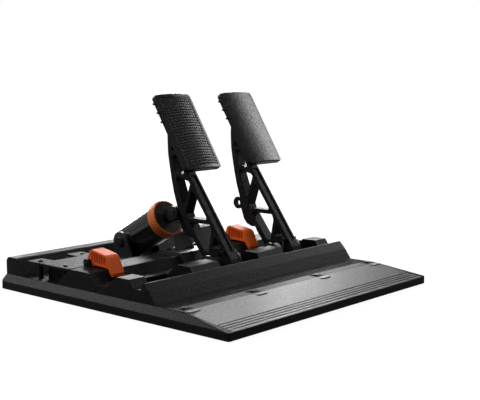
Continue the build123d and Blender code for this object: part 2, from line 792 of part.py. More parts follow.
spine_seat = -pad_thickness - spine_screw_sink
spine_screw_alongs = (-spine_screw_low, spine_screw_high)
pad_screw_spots = [(i * pad_screw_across, j * pad_screw_along) for i in (-1, 1) for j in (-1, 1)]
arm_peg_y = pivot_y - spring_radius - spring_wire - peg_radius - peg_gap
arm_peg_z = pivot_z + spring_arm_leg - arm_peg_back
ground_peg_y = pivot_y + spring_ground_leg - ground_peg_back
ground_peg_z = pivot_z - spring_radius - spring_wire - peg_radius - peg_gap
groove_line = [arm_point(share) for share in groove_shares]
groove_back = [p for p in band(groove_line, -chord_groove_depth)[2:]][::-1]


def pedal_arm(x):
    """Truss arm with its hub, chord groove, stop tongue, eye and spring pegs."""
    with BuildPart() as arm:
        with BuildSketch(side_plane(x)):
            with BuildLine():
                Polyline(*[arm_point(share) for share in arm_outline_shares], close=True)
            make_face()
            with Locations((pivot_y, pivot_z)):
                Circle(hub_radius)
        extrude(amount=arm_width / 2, both=True)
        with BuildSketch(side_plane(x)):
            for shares in window_shares:
                with BuildLine():
                    FilletPolyline(*[arm_point(share) for share in shares], radius=window_corner, close=True)
                make_face()
            with BuildLine():
                FilletPolyline(*[arm_point(share) for share in small_window_shares],
                               radius=small_window_corner, close=True)
            make_face()
        extrude(amount=arm_width, both=True, mode=Mode.SUBTRACT)
        sides = faces().sort_by(Axis.X)
        chamfer(sides[0].edges() + sides[-1].edges(), arm_edge)
        add(slab(x, band(groove_back, chord_groove_depth + overrun), chord_groove_width), mode=Mode.SUBTRACT)
        for share, radius in ((chord_hole_share, chord_hole_radius), (web_hole_share, web_hole_radius)):
            add(drums([side_plane(x - arm_width, *arm_point(share))], radius, 2 * arm_width), mode=Mode.SUBTRACT)
        add(slab(x, [arm_point(share) for share in tongue_shares], tongue_thickness))
        add(drums([side_plane(x - tongue_thickness / 2, eye_y, eye_z)], eye_radius, tongue_thickness))
        add(drums([side_plane(x - arm_width / 2 - peg_reach, arm_peg_y, arm_peg_z)], peg_radius,
                  arm_width + 2 * peg_reach))
        add(drums([side_plane(x - arm_width, eye_y, eye_z)], eye_hole, 2 * arm_width), mode=Mode.SUBTRACT)
        add(drums([side_plane(x - arm_width, pivot_y, pivot_z)], axle_radius, 2 * arm_width), mode=Mode.SUBTRACT)
        add(drums([pad_plane(x, along, spine_seat) for along in spine_screw_alongs], large_thread,
                  -spine_screw_length), mode=Mode.SUBTRACT)
    return arm.part


def pedal_pad(x, relief):
    """Convex pad with rounded corners and side nubs, and a lowered field if it has a relief."""
    section = Plane(origin=(x, *pad_point(0, 0)), x_dir=(1, 0, 0), z_dir=(0, -lean_y, -lean_z))
    upright = Axis((0, 0, 0), (0, -lean_z, lean_y))
    half = pad_width / 2
    inner = half - pad_rim
    with BuildPart() as field:
        with BuildSketch(section):
            with BuildLine():
                ThreePointArc((-half, -pad_crown - pad_relief), (0, -pad_relief), (half, -pad_crown - pad_relief))
                Polyline((half, -pad_crown - pad_relief), (half, overrun), (-half, overrun),
                         (-half, -pad_crown - pad_relief))
            make_face()
            Rectangle(2 * inner, 2 * pad_width, mode=Mode.INTERSECT)
        extrude(amount=pad_length / 2 - pad_rim, both=True)
        fillet(edges().filter_by(upright), pad_field_corner)
    with BuildPart() as pad:
        with BuildSketch(section):
            with BuildLine():
                ThreePointArc((-half, -pad_crown), (0, 0), (half, -pad_crown))
                Polyline((half, -pad_crown), (half, -pad_thickness), (-half, -pad_thickness), (-half, -pad_crown))
            make_face()
        extrude(amount=pad_length / 2, both=True)
        fillet(edges().filter_by(upright), pad_corner)
        fillet(faces().sort_by(upright)[-1].edges(), pad_edge)
        if relief:
            add(field.part, mode=Mode.SUBTRACT)
        for i in range(3):
            nub = side_plane(x - half - pad_nub_reach, *pad_point(pad_nub_start + i * pad_nub_pitch, -pad_nub_depth))
            add(drums([nub], pad_nub_radius, pad_width + 2 * pad_nub_reach))
        add(drums([pad_plane(x + a, b, -pad_thickness - bracket_plate) for a, b in pad_screw_spots], small_thread,
                  pad_screw_length), mode=Mode.SUBTRACT)
    return pad.part


def pad_bracket(x):
    """Plate behind the pad with a spine down to the arm, drilled for both sets of screws."""
    with BuildPart() as made:
        with BuildSketch(pad_plane(x, 0, -pad_thickness)):
            RectangleRounded(bracket_width, bracket_length, bracket_corner)
        extrude(amount=-bracket_plate)
        spine = [pad_point(a, h) for a, h in ((-spine_low, -pad_thickness - bracket_plate / 2),
                                              (spine_high, -pad_thickness - bracket_plate / 2),
                                              (spine_high, -pad_stand_off), (-spine_low, -pad_stand_off))]
        add(slab(x, spine, arm_width))
        add(drums([pad_plane(x, along, spine_seat) for along in spine_screw_alongs], large_head + seat_gap,
                  spine_screw_sink), mode=Mode.SUBTRACT)
        add(drums([pad_plane(x, along, spine_seat) for along in spine_screw_alongs], large_thread,
                  -spine_screw_length), mode=Mode.SUBTRACT)
        add(drums([pad_plane(x + a, b, -pad_thickness - bracket_plate) for a, b in pad_screw_spots], small_thread,
                  bracket_plate), mode=Mode.SUBTRACT)
    return made.part


def pedal_bracket(x, line, pegs):
    """Bent plate with two cheeks for the pedal's axle and a slot for its hub."""
    with BuildPart() as made:
        add(slab(x, band(line, plate_thickness), plate_width))
        foot_y = plate_riser - plate_thickness - cheek_foot_length / 2
        for side in (-1, 1):
            with BuildSketch(side_plane(x + side * (cheek_inner + cheek_thickness / 2))):
                with Locations((pivot_y, pivot_z)):
                    Circle(cheek_round)
                with Locations((foot_y, bay_floor + plate_thickness / 2)):
                    Rectangle(cheek_foot_length, plate_thickness)
                make_hull(edges())
            extrude(amount=cheek_thickness / 2, both=True)
            if pegs:
                start = side_plane(x + side * (cheek_inner - peg_reach), ground_peg_y, ground_peg_z)
                add(drums([start], peg_radius, side * (peg_reach + cheek_thickness / 2)))
        slot_front = plate_riser - plate_thickness - overrun
        slot_low = pivot_z - hub_radius - deck_slot_gap
        slot = [(slot_front, slot_low), (deck_back - deck_bridge, slot_low),
                (deck_back - deck_bridge, deck_top + overrun), (slot_front, deck_top + overrun)]
        add(slab(x, slot, 2 * cheek_inner), mode=Mode.SUBTRACT)
        add(drums([side_plane(x - axle_half, pivot_y, pivot_z)], bush_radius, 2 * axle_half), mode=Mode.SUBTRACT)
        add(drums([up_plane(x + side * bay_peg_across, bay_peg_y, bay_floor) for side in (-1, 1)],
                  bay_peg_radius + seat_gap, plate_thickness), mode=Mode.SUBTRACT)
    return made.part


def on_axle(x, start, length, radius):
    """A pair of rings on a pedal's axle, one each side of its middle."""
    planes = [side_plane(x + side * start + (side - 1) / 2 * length, pivot_y, pivot_z) for side in (-1, 1)]
    return drums(planes, radius, length, axle_radius)


bracket_line = [(plate_front, bay_floor), (plate_riser, bay_floor), (plate_riser, front_valley_height)]
throttle_line = bracket_line + [(deck_back - seat_gap, front_valley_height)]
brake_line = bracket_line + [(deck_back, front_valley_height), (front + rear_ridge_front, rear_ridge_height),
                             (front + rear_ridge_back, rear_ridge_height),
                             (front + rear_valley_front, rear_valley_height),
                             (front + rear_valley_front + valley_plate_length, rear_valley_height)]
spacer_length = cheek_inner - bush_flange_thickness - seat_gap - arm_width / 2
sensor_x = throttle_x + cheek_outer
sensor_screw_planes = [side_plane(sensor_x + sensor_depth, pivot_y + i * sensor_screw_across,
                                  pivot_z - sensor_screw_drop) for i in (-1, 1)]

# Pieces that the brake and the throttle have alike
for x, name, relief in ((brake_x, "brake", True), (throttle_x, "throttle", False)):
    save(pedal_arm(x), name + "_arm")
    save(pedal_pad(x, relief), name + "_pad")
    save(pad_bracket(x), name + "_pad_bracket")
    save(screws([pad_plane(x + a, b, -pad_thickness - bracket_plate, -1) for a, b in pad_screw_spots],
                small_thread, small_head, small_head_height, pad_screw_length), name + "_pad_screws")
    save(screws([pad_plane(x, along, spine_seat) for along in spine_screw_alongs], large_thread, large_head,
                large_head_height, spine_screw_length), name + "_bracket_screws")
    save(on_axle(x, arm_width / 2, spacer_length, spacer_radius), name + "_spacers")
    save(on_axle(x, cheek_outer + seat_gap, ring_clip_thickness, ring_clip_radius), name + "_axle_clips")

# Flanged bushes in all four cheeks, and the rubber rest stops under the arms' front feet
with BuildPart() as axle_bushes:
    for x in (brake_x, throttle_x):
        for side in (-1, 1):
            add(drums([side_plane(x + side * cheek_inner, pivot_y, pivot_z)], bush_radius, side * cheek_thickness,
                      axle_radius + running_gap))
            add(drums([side_plane(x + side * cheek_inner, pivot_y, pivot_z)], bush_flange,
                      -side * bush_flange_thickness, axle_radius + running_gap))
save(axle_bushes.part, "axle_bushes")

with BuildPart() as rest_stops:
    with BuildSketch(Plane.XY.offset(plate_top)):
        with Locations(*[(x, foot_front_y + stop_inset + stop_length / 2) for x in (brake_x, throttle_x)]):
            Rectangle(stop_width, stop_length)
    extrude(amount=foot_bottom - seat_gap - plate_top)
save(rest_stops.part, "rest_stops")

# Throttle: bracket, axle with its magnet, sensor, end bumper and torsion springs
with BuildPart() as throttle_bracket:
    add(pedal_bracket(throttle_x, throttle_line, True))
    add(drums(sensor_screw_planes, small_thread, -sensor_screw_length), mode=Mode.SUBTRACT)
save(throttle_bracket.part, "throttle_bracket")

with BuildPart() as throttle_axle:
    add(drums([side_plane(throttle_x - axle_half, pivot_y, pivot_z)], axle_radius, 2 * axle_half))
    add(drums([side_plane(throttle_x + axle_half, pivot_y, pivot_z)], magnet_radius, -magnet_thickness),
        mode=Mode.SUBTRACT)
save(throttle_axle.part, "throttle_axle")
save(drums([side_plane(throttle_x + axle_half - magnet_thickness, pivot_y, pivot_z)], magnet_radius,
           magnet_thickness), "throttle_magnet")

with BuildPart() as throttle_sensor_housing:
    with BuildSketch(side_plane(sensor_x, pivot_y, pivot_z)):
        with Locations((0, (sensor_rise - sensor_drop) / 2)):
            Rectangle(sensor_width, sensor_rise + sensor_drop)
    extrude(amount=sensor_depth)
    add(drums([side_plane(sensor_x, pivot_y, pivot_z)], sensor_bore, sensor_depth - sensor_wall),
        mode=Mode.SUBTRACT)
    add(drums(sensor_screw_planes, small_thread, -sensor_screw_length), mode=Mode.SUBTRACT)
save(throttle_sensor_housing.part, "throttle_sensor_housing")
save(drums([side_plane(sensor_x + sensor_depth - sensor_wall, pivot_y, pivot_z)], sensor_board_radius,
           -sensor_board_thickness), "throttle_sensor_board")
save(screws(sensor_screw_planes, small_thread, small_head, small_head_height, sensor_screw_length),
     "throttle_sensor_screws")

with BuildPart() as throttle_end_bumper:
    with BuildSketch(Plane.XY.offset(rear_ridge_height)):
        with Locations((throttle_x, front + rear_ridge_front + bumper_start + bumper_length / 2)):
            Rectangle(stop_width, bumper_length)
    extrude(amount=bumper_height)
save(throttle_end_bumper.part, "throttle_end_bumper")

# Torsion springs: a leg on a bracket peg, quarter-turn biarcs of the coil, a leg on the arm's peg
quarter_turns = 4 * spring_turns + 1
spring_room = cheek_inner - arm_width / 2 - 2 * (spring_end_gap + spring_wire)
helix_length = 2 * pi * spring_radius * quarter_turns / 4
spring_drift = spring_room / (helix_length + spring_arm_leg + spring_ground_leg)


def coil_state(side, turned):
    """Point and direction on the coil after an angle turned from its leg on the bracket."""
    angle = -pi / 2 - turned
    cheek_end = cheek_inner - spring_end_gap - spring_wire - spring_drift * spring_ground_leg
    x = throttle_x + side * (cheek_end - spring_drift * spring_radius * turned)
    point = Vector(x, pivot_y + spring_radius * cos(angle), pivot_z + spring_radius * sin(angle))
    heading = Vector(-side * spring_drift, sin(angle), -cos(angle)).normalized()
    return point, heading


def least_gap(points, skip):
    """Smallest distance between points at least skip steps apart, less the wire's thickness."""
    closest = min((points[i] - points[j]).length for i in range(len(points)) for j in range(i + skip, len(points)))
    return closest - 2 * spring_wire


for side, name in ((-1, "throttle_spring_left"), (1, "throttle_spring_right")):
    with BuildPart() as spring:
        with BuildLine() as wire:
            here, heading = coil_state(side, 0)
            Line(here - heading * spring_ground_leg, here)
            for i in range(quarter_turns):
                there, onward = coil_state(side, (i + 1) * pi / 2)
                step = there - here
                both = heading + onward
                square = 2 * (1 - heading.dot(onward))
                reach = (sqrt(step.dot(both) ** 2 + square * step.dot(step)) - step.dot(both)) / square
                joint = (here + there + (heading - onward) * reach) / 2
                meeting = (there - here - both * reach).normalized()
                TangentArc(here, joint, tangent=heading)
                TangentArc(joint, there, tangent=meeting)
                here, heading = there, onward
            Line(here, here + heading * spring_arm_leg)
        with BuildSketch(Plane(origin=wire.line @ 0, z_dir=wire.line % 0)):
            Circle(spring_wire)
        sweep(path=wire.line)
    save(spring.part, name)
    samples = [coil_state(side, i * pi / 12)[0] for i in range(6 * quarter_turns + 1)]
    print(name, "least gap to itself", round(least_gap(samples, 12), 3))

# Brake cylinder: side-view places and turned pieces, by station along the axis and radius
tilt_cos = cos(radians(cylinder_tilt))
tilt_sin = sin(radians(cylinder_tilt))
face_y = eye_y + eye_to_face * tilt_cos
face_z = eye_z - eye_to_face * tilt_sin


def barrel_point(station, radius):
    """Place in the side view of a station along the cylinder and a height off its axis."""
    return (face_y + station * tilt_cos + radius * tilt_sin, face_z - station * tilt_sin + radius * tilt_cos)


barrel_axis = Axis((brake_x, face_y, face_z), (0, tilt_cos, -tilt_sin))
barrel_plane = Plane(origin=(brake_x, face_y, face_z), x_dir=(0, tilt_cos, -tilt_sin), z_dir=(1, 0, 0))


def barrel_front(station, way=1):
    """Plane across the cylinder at a station, facing back, or to the front."""
    y, z = barrel_point(station, 0)
    return Plane(origin=(brake_x, y, z), x_dir=(1, 0, 0), z_dir=(0, way * tilt_cos, -way * tilt_sin))


def turned(points):
    """A piece turned about the cylinder's axis from (station, radius) points."""
    with BuildPart() as made:
        with BuildSketch(barrel_plane):
            with BuildLine():
                Polyline(*points, close=True)
            make_face()
        revolve(axis=barrel_axis)
    return made.part


def ring_piece(start, length, radius, bore=0):
    """A plain turned disc or ring."""
    return turned([(start, bore), (start, radius), (start + length, radius), (start + length, bore)])


trunnion_y, trunnion_z = barrel_point(trunnion_from_face, 0)
cradle_inner = tube_radius + cradle_gap
cradle_outer = cradle_inner + cradle_thickness
shoulder = ring_length - ring_front + seat_gap
pin_planes = {side: side_plane(brake_x + side * (cradle_outer + seat_gap), trunnion_y, trunnion_z)
              for side in (-1, 1)}
pin_depth = cradle_outer + seat_gap - tube_bore

with BuildPart() as brake_base:
    add(pedal_bracket(brake_x, brake_line, False))
    leg_front = front + rear_valley_front + valley_plate_length - cradle_leg_overlap
    leg_back = front + rear_valley_back - cradle_back_gap
    for side in (-1, 1):
        with BuildSketch(Plane.XY.offset(rear_valley_height)):
            with Locations((brake_x + side * (cradle_inner + cradle_leg_width / 2), (leg_front + leg_back) / 2)):
                Rectangle(cradle_leg_width, leg_back - leg_front)
        extrude(amount=plate_thickness)
        with BuildSketch(side_plane(brake_x + side * (cradle_inner + cradle_thickness / 2))):
            with Locations((trunnion_y, trunnion_z)):
                Circle(cradle_round)
            with Locations((leg_back - cradle_foot_length / 2, rear_valley_height + plate_thickness / 2)):
                Rectangle(cradle_foot_length, plate_thickness)
            make_hull(edges())
        extrude(amount=cradle_thickness / 2, both=True)
    add(drums([side_plane(brake_x - cradle_outer - overrun, trunnion_y, trunnion_z)],
              trunnion_radius + trunnion_bush_wall, 2 * (cradle_outer + overrun)), mode=Mode.SUBTRACT)
    add(drums([up_plane(x, y, rear_ridge_height) for x, y in ridge_screw_places], large_thread,
              plate_thickness), mode=Mode.SUBTRACT)
    add(drums([up_plane(x, y, rear_valley_height) for x, y in valley_screw_places], large_thread,
              plate_thickness), mode=Mode.SUBTRACT)
save(brake_base.part, "brake_base")
save(screws([up_plane(x, y, rear_ridge_height + plate_thickness) for x, y in ridge_screw_places]
            + [up_plane(x, y, rear_valley_height + plate_thickness) for x, y in valley_screw_places],
            large_thread, large_head, large_head_height, large_screw_length), "brake_base_screws")
save(drums([side_plane(brake_x - axle_half, pivot_y, pivot_z)], axle_radius, 2 * axle_half), "brake_axle")

stop_y = front + rear_ridge_front + end_stop_start
stop_z = rear_ridge_height + plate_thickness
save(slab(brake_x, [(stop_y + end_stop_length * a, stop_z + end_stop_height * b) for a, b in end_stop_shares],
          end_stop_width), "brake_end_stop")

# Clevis on the arm's eye, its pin and clip, and the pushrod with its piston
with BuildPart() as brake_clevis:
    add(drums([side_plane(brake_x - clevis_width / 2, eye_y, eye_z)], clevis_radius, clevis_width))
    add(slab(brake_x, [barrel_point(s, r) for s, r in ((-eye_to_face, -clevis_radius), (-eye_to_face, clevis_radius),
                                                       (-clevis_end, clevis_radius), (-clevis_end, -clevis_radius))],
             clevis_width))
    slot_back = eye_radius + clevis_gap - eye_to_face
    slot_front = -eye_to_face - clevis_radius - overrun
    slot_half = clevis_radius + overrun
    add(slab(brake_x, [barrel_point(s, r) for s, r in ((slot_front, -slot_half), (slot_front, slot_half),
                                                       (slot_back, slot_half), (slot_back, -slot_half))],
             clevis_slot), mode=Mode.SUBTRACT)
    add(drums([side_plane(brake_x - clevis_width, eye_y, eye_z)], eye_pin_radius, 2 * clevis_width),
        mode=Mode.SUBTRACT)
    add(drums([barrel_front(-clevis_end)], stud_radius, -stud_length), mode=Mode.SUBTRACT)
save(brake_clevis.part, "brake_clevis")

pin_end = clevis_width / 2 + eye_pin_head_height
with BuildPart() as brake_clevis_pin:
    add(drums([side_plane(brake_x - clevis_width / 2, eye_y, eye_z)], eye_pin_radius, clevis_width / 2 + pin_end))
    add(drums([side_plane(brake_x - clevis_width / 2, eye_y, eye_z)], eye_pin_head, -eye_pin_head_height))
save(brake_clevis_pin.part, "brake_clevis_pin")
save(drums([side_plane(brake_x + clevis_width / 2, eye_y, eye_z)], eye_pin_head, ring_clip_thickness,
           eye_pin_radius), "clevis_pin_clip")

piston_end = piston_start + piston_thickness
save(turned([(-clevis_end - stud_length, 0), (-clevis_end - stud_length, stud_radius), (-clevis_end, stud_radius),
             (-clevis_end, rod_radius), (piston_start, rod_radius), (piston_start, piston_radius),
             (piston_end, piston_radius), (piston_end, 0)]), "brake_pushrod")

# Tube with its trunnion pins and bushes, front cap and preload ring
with BuildPart() as cylinder_tube:
    add(turned([(cap_lip, tube_bore), (cap_lip, neck_radius), (shoulder, neck_radius), (shoulder, tube_radius),
                (tube_end - tube_chamfer, tube_radius), (tube_end, tube_radius - tube_chamfer),
                (tube_end, tube_bore)]))
    add(drums([side_plane(brake_x - tube_radius - overrun, trunnion_y, trunnion_z)], trunnion_radius,
              2 * (tube_radius + overrun)), mode=Mode.SUBTRACT)
save(cylinder_tube.part, "cylinder_tube")

with BuildPart() as trunnion_pins:
    for side, plane in pin_planes.items():
        add(drums([plane], trunnion_head, side * trunnion_head_height))
        add(drums([plane], trunnion_radius, -side * pin_depth))
save(trunnion_pins.part, "trunnion_pins")
save(drums([side_plane(brake_x + side * cradle_inner + (side - 1) / 2 * cradle_thickness, trunnion_y, trunnion_z)
            for side in (-1, 1)], trunnion_radius + trunnion_bush_wall, cradle_thickness,
           trunnion_radius + running_gap), "trunnion_bushes")

save(turned([(0, rod_radius + rod_gap), (0, neck_radius), (cap_lip, neck_radius),
             (cap_lip, tube_bore - running_gap), (cap_length, tube_bore - running_gap),
             (cap_length, rod_radius + rod_gap)]), "cylinder_front_cap")

ring_bore = neck_radius + ring_gap
ring_end = ring_length - ring_front
save(turned([(-ring_front, ring_bore + ring_chamfer), (-ring_front, ring_radius - ring_chamfer),
             (ring_chamfer - ring_front, ring_radius), (ring_end - ring_chamfer, ring_radius),
             (ring_end, ring_radius - ring_chamfer), (ring_end, ring_bore),
             (ring_chamfer - ring_front, ring_bore)]), "preload_ring")

# Elastomer stack between two washers, then the load cell on the end cap
station = piston_end + stack_gap
save(ring_piece(station, washer_thickness, washer_radius), "front_washer")
station += washer_thickness + stack_gap
for length, name in zip(elastomer_lengths, ("elastomer_soft", "elastomer_medium", "elastomer_hard")):
    save(ring_piece(station, length, elastomer_radius, elastomer_hole), name)
    station += length + stack_gap
save(ring_piece(station, washer_thickness, washer_radius), "rear_washer")
station += washer_thickness + stack_gap
cell_back = station + load_cell_length
seat_station = tube_end - end_cap_inset - cell_screw_head_height - seat_gap
waist_radius = load_cell_radius - load_cell_waist
with BuildPart() as load_cell:
    add(turned([(station, 0), (station, load_cell_radius), (station + load_cell_waist, load_cell_radius),
                (station + load_cell_waist, waist_radius), (cell_back - load_cell_waist, waist_radius),
                (cell_back - load_cell_waist, load_cell_radius), (cell_back, load_cell_radius), (cell_back, 0)]))
    add(drums([barrel_front(cell_back)], cell_screw_radius, -cell_screw_grip), mode=Mode.SUBTRACT)
save(load_cell.part, "load_cell")
cap_start = cell_back + stack_gap
save(turned([(cap_start, cell_screw_radius), (cap_start, tube_bore - running_gap),
             (tube_end - end_cap_inset, tube_bore - running_gap),
             (tube_end - end_cap_inset, cell_screw_head + seat_gap), (seat_station, cell_screw_head + seat_gap),
             (seat_station, cell_screw_radius)]), "cylinder_end_cap")
save(screws([barrel_front(seat_station)], cell_screw_radius, cell_screw_head, cell_screw_head_height,
            seat_station - cell_back + cell_screw_grip), "load_cell_screw")

print("pivot", round(pivot_y, 3), round(pivot_z, 3), "eye", round(eye_y, 3), round(eye_z, 3))
print("face", round(face_y, 3), round(face_z, 3), "trunnion", round(trunnion_y, 3), round(trunnion_z, 3))
print("axis", round(tilt_cos, 5), round(-tilt_sin, 5), "clip pin", round(clip_y, 3), round(clip_z, 3))
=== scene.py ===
# %% [markdown]
# # A pedal set for sim racing
# The CAD model gives every solid piece its true place and size. This lesson dresses it: it sets up a small
# product studio, gives each piece the finish of the real one, and models what is too fine or too soft
# for the CAD solids, such as the studs of the brake pad and the wound springs.

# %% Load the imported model
import json
from math import cos, pi, radians, sin, sqrt

import bpy
from mathutils import Matrix, Vector


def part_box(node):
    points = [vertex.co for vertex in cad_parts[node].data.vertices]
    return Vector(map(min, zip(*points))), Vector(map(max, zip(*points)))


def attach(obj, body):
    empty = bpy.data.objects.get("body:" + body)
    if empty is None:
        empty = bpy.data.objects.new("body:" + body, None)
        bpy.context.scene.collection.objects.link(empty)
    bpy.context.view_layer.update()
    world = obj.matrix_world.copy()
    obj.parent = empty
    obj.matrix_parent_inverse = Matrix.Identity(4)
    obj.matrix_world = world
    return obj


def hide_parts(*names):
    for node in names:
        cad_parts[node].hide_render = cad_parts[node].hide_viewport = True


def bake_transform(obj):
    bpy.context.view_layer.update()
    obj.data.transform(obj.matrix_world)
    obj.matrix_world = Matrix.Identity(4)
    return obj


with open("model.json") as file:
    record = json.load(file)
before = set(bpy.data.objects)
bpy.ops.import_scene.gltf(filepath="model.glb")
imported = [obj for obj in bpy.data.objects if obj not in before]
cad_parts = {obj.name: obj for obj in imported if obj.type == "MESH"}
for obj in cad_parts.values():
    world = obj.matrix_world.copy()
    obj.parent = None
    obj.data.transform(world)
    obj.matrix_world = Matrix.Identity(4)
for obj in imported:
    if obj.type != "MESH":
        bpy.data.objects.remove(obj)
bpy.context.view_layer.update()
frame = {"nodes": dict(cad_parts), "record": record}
nodes = frame["nodes"]
mm = 0.001

# %% [markdown]
# ## Helpers for modelling by hand
# An operator acts on whatever is selected, so each new piece starts with nothing selected. Most small
# pieces here start as a box and have one side drawn in. That side is picked by the way that its face points.
# A finished piece keeps its place in its mesh, with its object at the origin, as the CAD nodes have it.

# %% Starting and shaping a piece
facing = 0.9


def nothing_selected():
    """Leave the last piece and deselect everything."""
    if bpy.context.object and bpy.context.object.mode != "OBJECT":
        bpy.ops.object.mode_set(mode="OBJECT")
    bpy.ops.object.select_all(action="DESELECT")


def new_box(size, place):
    """Start a piece as a box of a given size, with its centre at a place."""
    nothing_selected()
    bpy.ops.mesh.primitive_cube_add(size=1, location=place)
    box = bpy.context.object
    box.scale = size
    bpy.ops.object.transform_apply(location=True, rotation=True, scale=True)
    return box


def pick_faces(piece, test):
    """Enter edit mode with the faces selected whose normal passes a test."""
    bpy.ops.object.mode_set(mode="EDIT")
    bpy.ops.mesh.select_mode(type="FACE")
    bpy.ops.mesh.select_all(action="DESELECT")
    bpy.ops.object.mode_set(mode="OBJECT")
    for face in piece.data.polygons:
        face.select = test(face.normal)
    bpy.ops.object.mode_set(mode="EDIT")


def draw_in(piece, side, shares):
    """Shrink the side of a piece that points a given way to a share of its size along each axis."""
    pick_faces(piece, lambda normal: normal.dot(Vector(side)) > facing)
    bpy.ops.transform.resize(value=shares)
    bpy.ops.object.mode_set(mode="OBJECT")


# %% [markdown]
# Modifiers are applied at once, so that what is seen is what the mesh holds. A row of copies comes from an
# Array modifier. A circle of copies could come from one too, but it would need a helper object to turn
# about, so here each copy's mesh is turned about the Z axis and the copies are joined.

# %% Repeating and finishing a piece


def modify(piece, kind, **settings):
    """Add a modifier with its settings and apply it."""
    modifier = piece.modifiers.new(kind.title(), kind)
    for name, value in settings.items():
        setattr(modifier, name, value)
    bpy.ops.object.modifier_apply(modifier=modifier.name)


def repeat(piece, count, step):
    """Repeat a piece in a row, one step after the other."""
    modify(piece, "ARRAY", count=count, use_relative_offset=False, use_constant_offset=True,
           constant_offset_displace=step)


def repeat_round(piece, count):
    """Set copies of a piece evenly round the Z axis, each with its own mesh, and join them."""
    copies = [piece]
    for i in range(1, count):
        twin = piece.copy()
        twin.data = piece.data.copy()
        twin.data.transform(Matrix.Rotation(2 * pi * i / count, 4, "Z"))
        bpy.context.scene.collection.objects.link(twin)
        copies.append(twin)
    nothing_selected()
    for twin in copies:
        twin.select_set(True)
    bpy.context.view_layer.objects.active = piece
    bpy.ops.object.join()


def settle(piece, name, place=Matrix.Identity(4), smooth=35):
    """Put a piece's place into its mesh, name it and shade its shallow edges smooth."""
    if bpy.context.object.mode != "OBJECT":
        bpy.ops.object.mode_set(mode="OBJECT")
    bpy.ops.object.transform_apply(location=True, rotation=True, scale=True)
    piece.data.transform(place)
    bpy.ops.object.shade_smooth_by_angle(angle=radians(smooth))
    piece.name = name
    piece.data.name = name


# %% [markdown]
# ## Helpers for shader nodes
# A material is a small graph of nodes. One helper adds a node and fills in its settings and sockets, and
# another links two sockets. A Mix node has sockets of the same name for numbers and for colours, so the
# ones for colours are found by their index.

# %% Adding, linking and mixing
colour_first, colour_second, colour_result = 6, 7, 2


def fill(node, values):
    """Give values to a node's sockets."""
    for socket, value in values.items():
        node.inputs[socket].default_value = value


def add_node(tree, kind, values=None, **settings):
    """Add a shader node with its settings and socket values."""
    node = tree.nodes.new("ShaderNode" + kind)
    for name, value in settings.items():
        setattr(node, name, value)
    fill(node, values or {})
    return node


def link(tree, source, sink):
    """Link a node's output to another node's input."""
    tree.links.new(source, sink)


def mix_colour(tree, factor, linked, plain):
    """Mix a linked colour towards a plain one, by a linked factor."""
    mix = add_node(tree, "Mix", data_type="RGBA")
    mix.inputs[colour_second].default_value = (*plain, 1)
    link(tree, factor, mix.inputs["Factor"])
    link(tree, linked, mix.inputs[colour_first])
    return mix.outputs[colour_result]


# %% [markdown]
# ## Floor and world
# The set stands on a seamless white floor. White light from all sides would turn black mouldings grey, so
# a Light Path node tells the rays apart: the camera sees white, gloss mirrors a little of it, and only a
# dim part lights the pieces. Close to the set the floor's white is dimmed a trace, a painted soft shadow.

# %% World
white = (1, 1, 1, 1)
seen_strength = 1.0
world_light, world_gloss = 0.13, 0.22


def ray_strength(tree, lighting, glossy, seen):
    """A strength that depends on the ray: what lights the pieces, what gloss shows, what the camera sees."""
    rays = add_node(tree, "LightPath")
    strength = lighting
    for ray, value in (("Is Glossy Ray", glossy), ("Is Transmission Ray", seen), ("Is Camera Ray", seen)):
        mix = add_node(tree, "Mix")
        link(tree, rays.outputs[ray], mix.inputs["Factor"])
        for socket, wanted in (("A", strength), ("B", value)):
            if isinstance(wanted, float):
                mix.inputs[socket].default_value = wanted
            else:
                link(tree, wanted, mix.inputs[socket])
        strength = mix.outputs["Result"]
    return strength


world = bpy.data.worlds.new("studio")
bpy.context.scene.world = world
world.use_nodes = True
background = world.node_tree.nodes["Background"]
fill(background, {"Color": white})
link(world.node_tree, ray_strength(world.node_tree, world_light, world_gloss, seen_strength),
     background.inputs["Strength"])
print("world light", world_light)

# %% Floor
floor_radius, floor_sides = 30, 96
floor_light, floor_gloss = 0.0, 0.15
# Within these radii the floor's white fades from a painted soft shadow up to full white
near_radius, far_radius, painted_shadow_strength = 0.3, 0.75, 0.93

nothing_selected()
bpy.ops.mesh.primitive_circle_add(vertices=floor_sides, radius=floor_radius, fill_type="NGON",
                                  location=(0, 0, 0))
floor = bpy.context.object
floor.name = "studio_floor"
floor_finish = bpy.data.materials.new("studio_floor")
floor_finish.use_nodes = True
tree = floor_finish.node_tree
floor_shader = tree.nodes["Principled BSDF"]
fill(floor_shader, {"Base Color": (0.12, 0.12, 0.12, 1), "Roughness": 0.9, "Specular IOR Level": 0.1,
                    "Emission Color": white})
place = add_node(tree, "TexCoord")
away = add_node(tree, "VectorMath", operation="LENGTH")
link(tree, place.outputs["Object"], away.inputs[0])
# Painted shadow: the floor's emission is dimmed near the set
painted_shadow_fade = add_node(tree, "MapRange", {"From Min": near_radius, "From Max": far_radius,
                                     "To Min": painted_shadow_strength, "To Max": seen_strength})
link(tree, away.outputs["Value"], painted_shadow_fade.inputs["Value"])
link(tree, ray_strength(tree, floor_light, floor_gloss, painted_shadow_fade.outputs["Result"]),
     floor_shader.inputs["Emission Strength"])
floor.data.materials.append(floor_finish)
print("floor radius", floor_radius, "m")

# %% [markdown]
# ## Camera
# The photograph looks at the set from its front left, a little above the pads. Its vanishing points give the
# direction of view and the lens. to_track_quat turns a direction into a rotation, which spares the usual
# trial and error with three angles.

